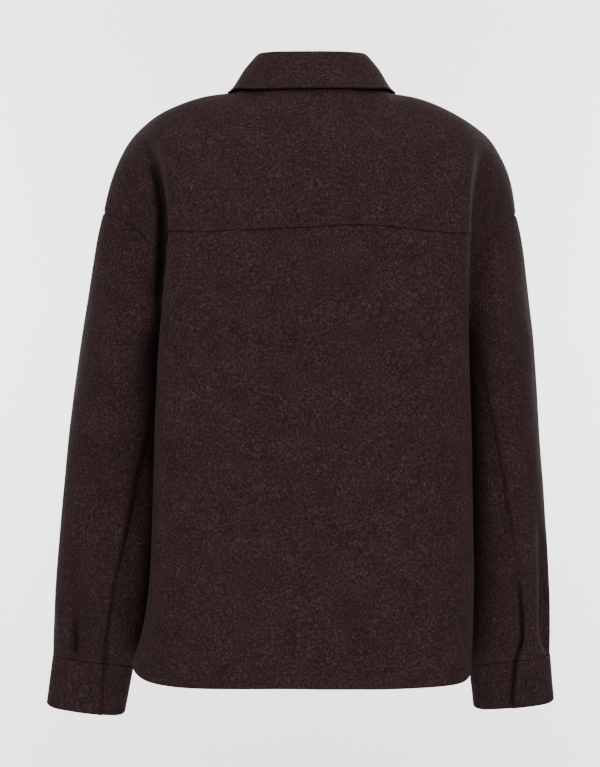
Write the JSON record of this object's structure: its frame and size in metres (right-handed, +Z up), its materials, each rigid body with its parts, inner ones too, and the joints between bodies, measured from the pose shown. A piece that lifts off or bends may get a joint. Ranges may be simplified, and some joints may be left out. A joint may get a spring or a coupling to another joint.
{
  "type": "shacket",
  "caption": "Worn boxy wool overshirt with turned-down collar, back yoke, dropped shoulders, vented sleeves with cuffs, and a press-stud front.",
  "frame": {"origin": "middle of the neck, level with the highest point of the shoulders, where the wearer's shoulders carry the garment", "axes": "+Z up, +Y towards the wearer's back, +X towards the wearer's left"},
  "size_m": [0.5909, 0.2634, 0.7643],
  "materials": {
    "wool": "felted melange wool, matt",
    "stud_metal": "dark oxidised brass, satin"
  },
  "bodies": {
    "root": {"yoke": "wool", "back": "wool", "collar_stand": "wool", "collar_leaf": "wool", "front_left": "wool", "sleeve_left": "wool", "cuff_left": "wool", "front_right": "wool", "sleeve_right": "wool", "cuff_right": "wool", "cuff_stud_left": "stud_metal", "cuff_stud_right": "stud_metal", "front_stud_1": "stud_metal", "front_stud_2": "stud_metal", "front_stud_3": "stud_metal", "front_stud_4": "stud_metal", "front_stud_5": "stud_metal", "front_stud_6": "stud_metal"}
  },
  "joints": []
}
